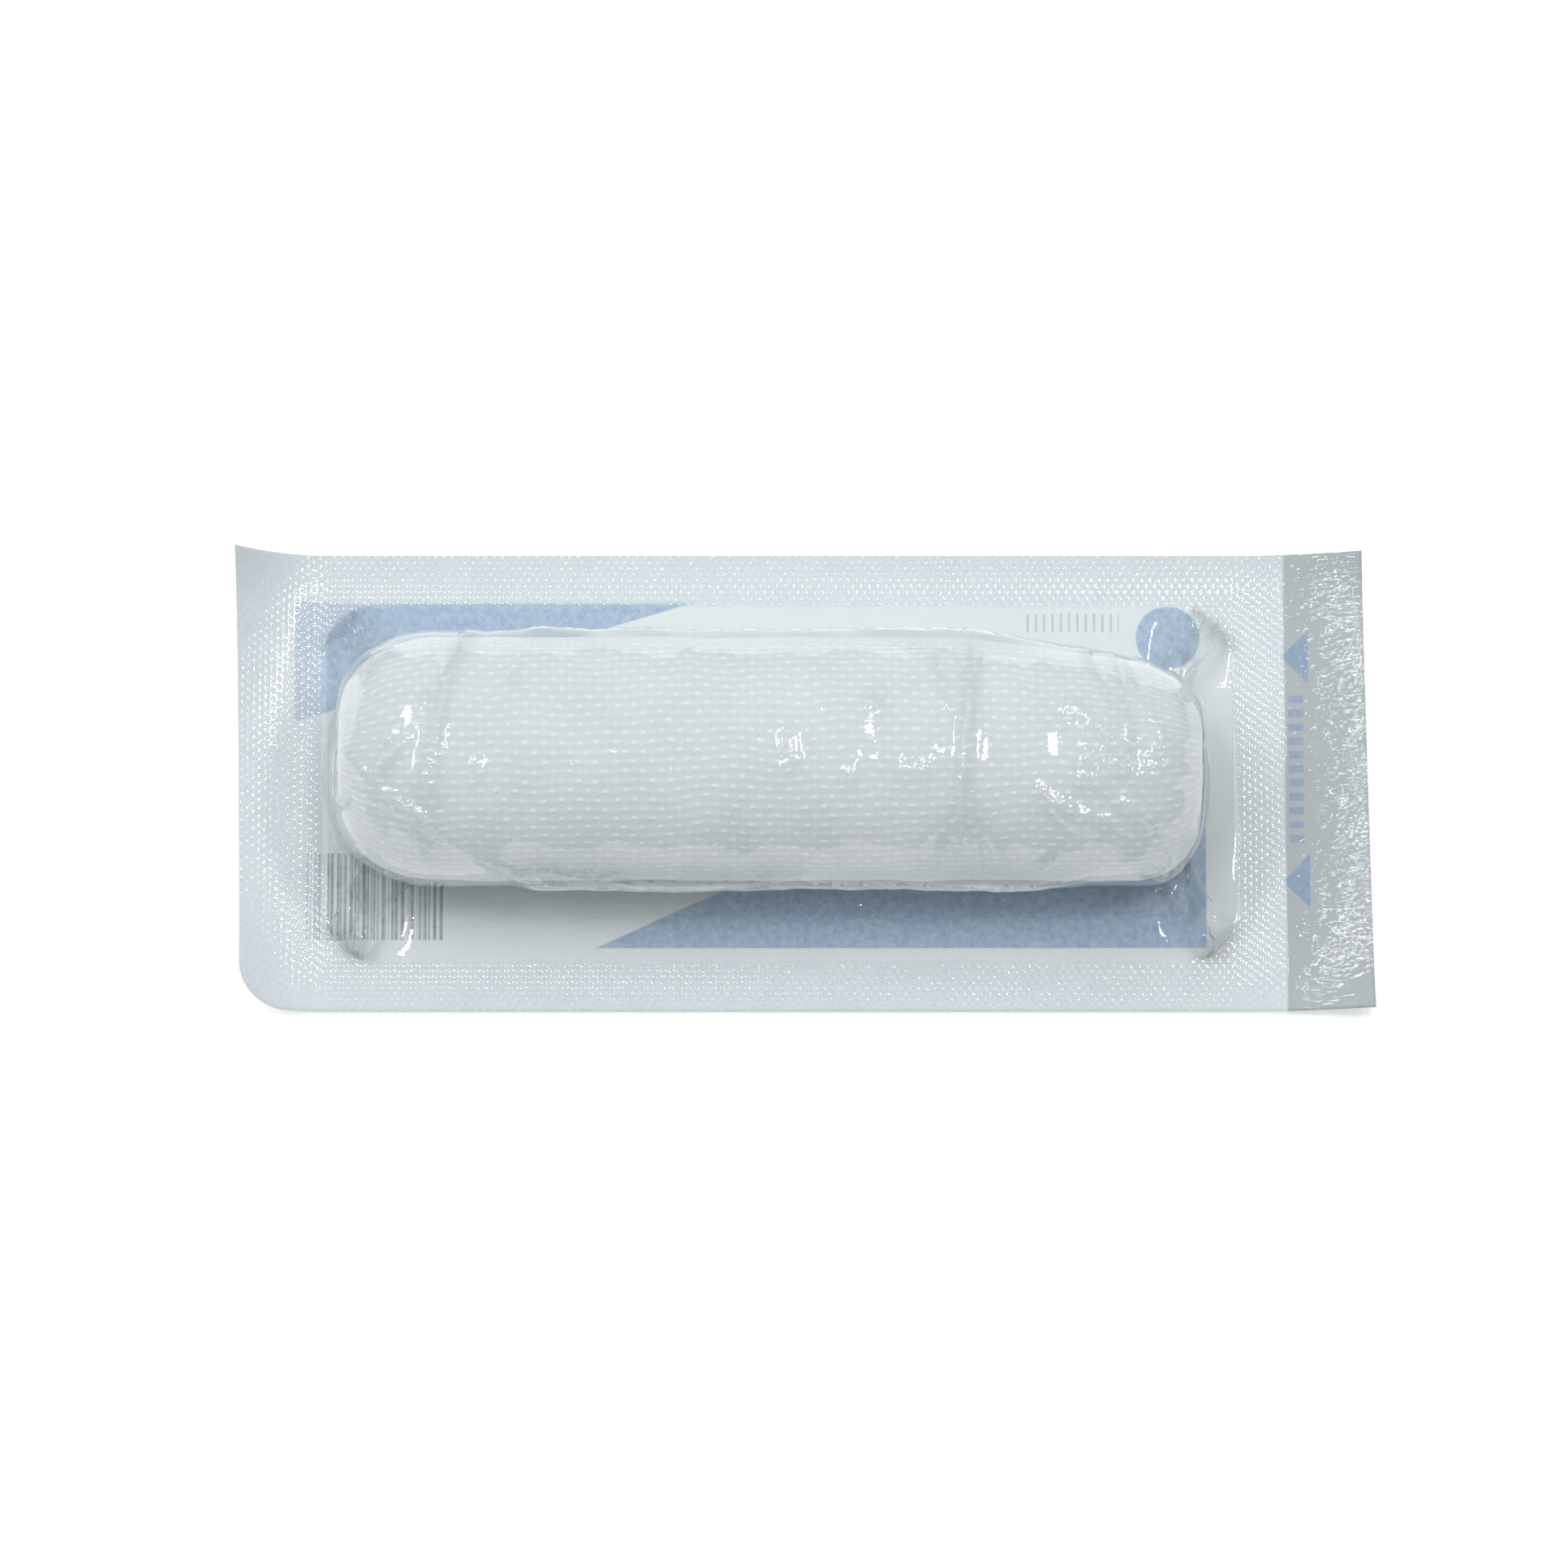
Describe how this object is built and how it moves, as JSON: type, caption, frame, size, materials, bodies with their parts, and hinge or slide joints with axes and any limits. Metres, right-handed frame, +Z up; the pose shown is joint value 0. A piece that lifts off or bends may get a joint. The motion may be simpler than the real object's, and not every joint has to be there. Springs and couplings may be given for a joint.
{
  "type": "conforming bandage roll in a peel pouch",
  "caption": "Wound roll of conforming gauze bandage sealed in a peel pouch: a clear film pocket over the roll on a flat paper backing.",
  "frame": {"origin": "centre of the pouch's outline, on the surface that the paper backing lies on", "axes": "+X along the pouch to its peel tab, +Y across the pouch, +Z up out of the paper towards the clear film"},
  "size_m": [0.136, 0.0556, 0.0294],
  "materials": {
    "gauze": "soft white gauze, plain open weave",
    "clear_film": "clear glossy plastic film, creased",
    "backing_paper": "matt white medical paper, printed in pale blue on its underside"
  },
  "bodies": {
    "root": {"gauze_roll": "gauze", "pouch_film": "clear_film", "paper_backing": "backing_paper"}
  },
  "joints": []
}
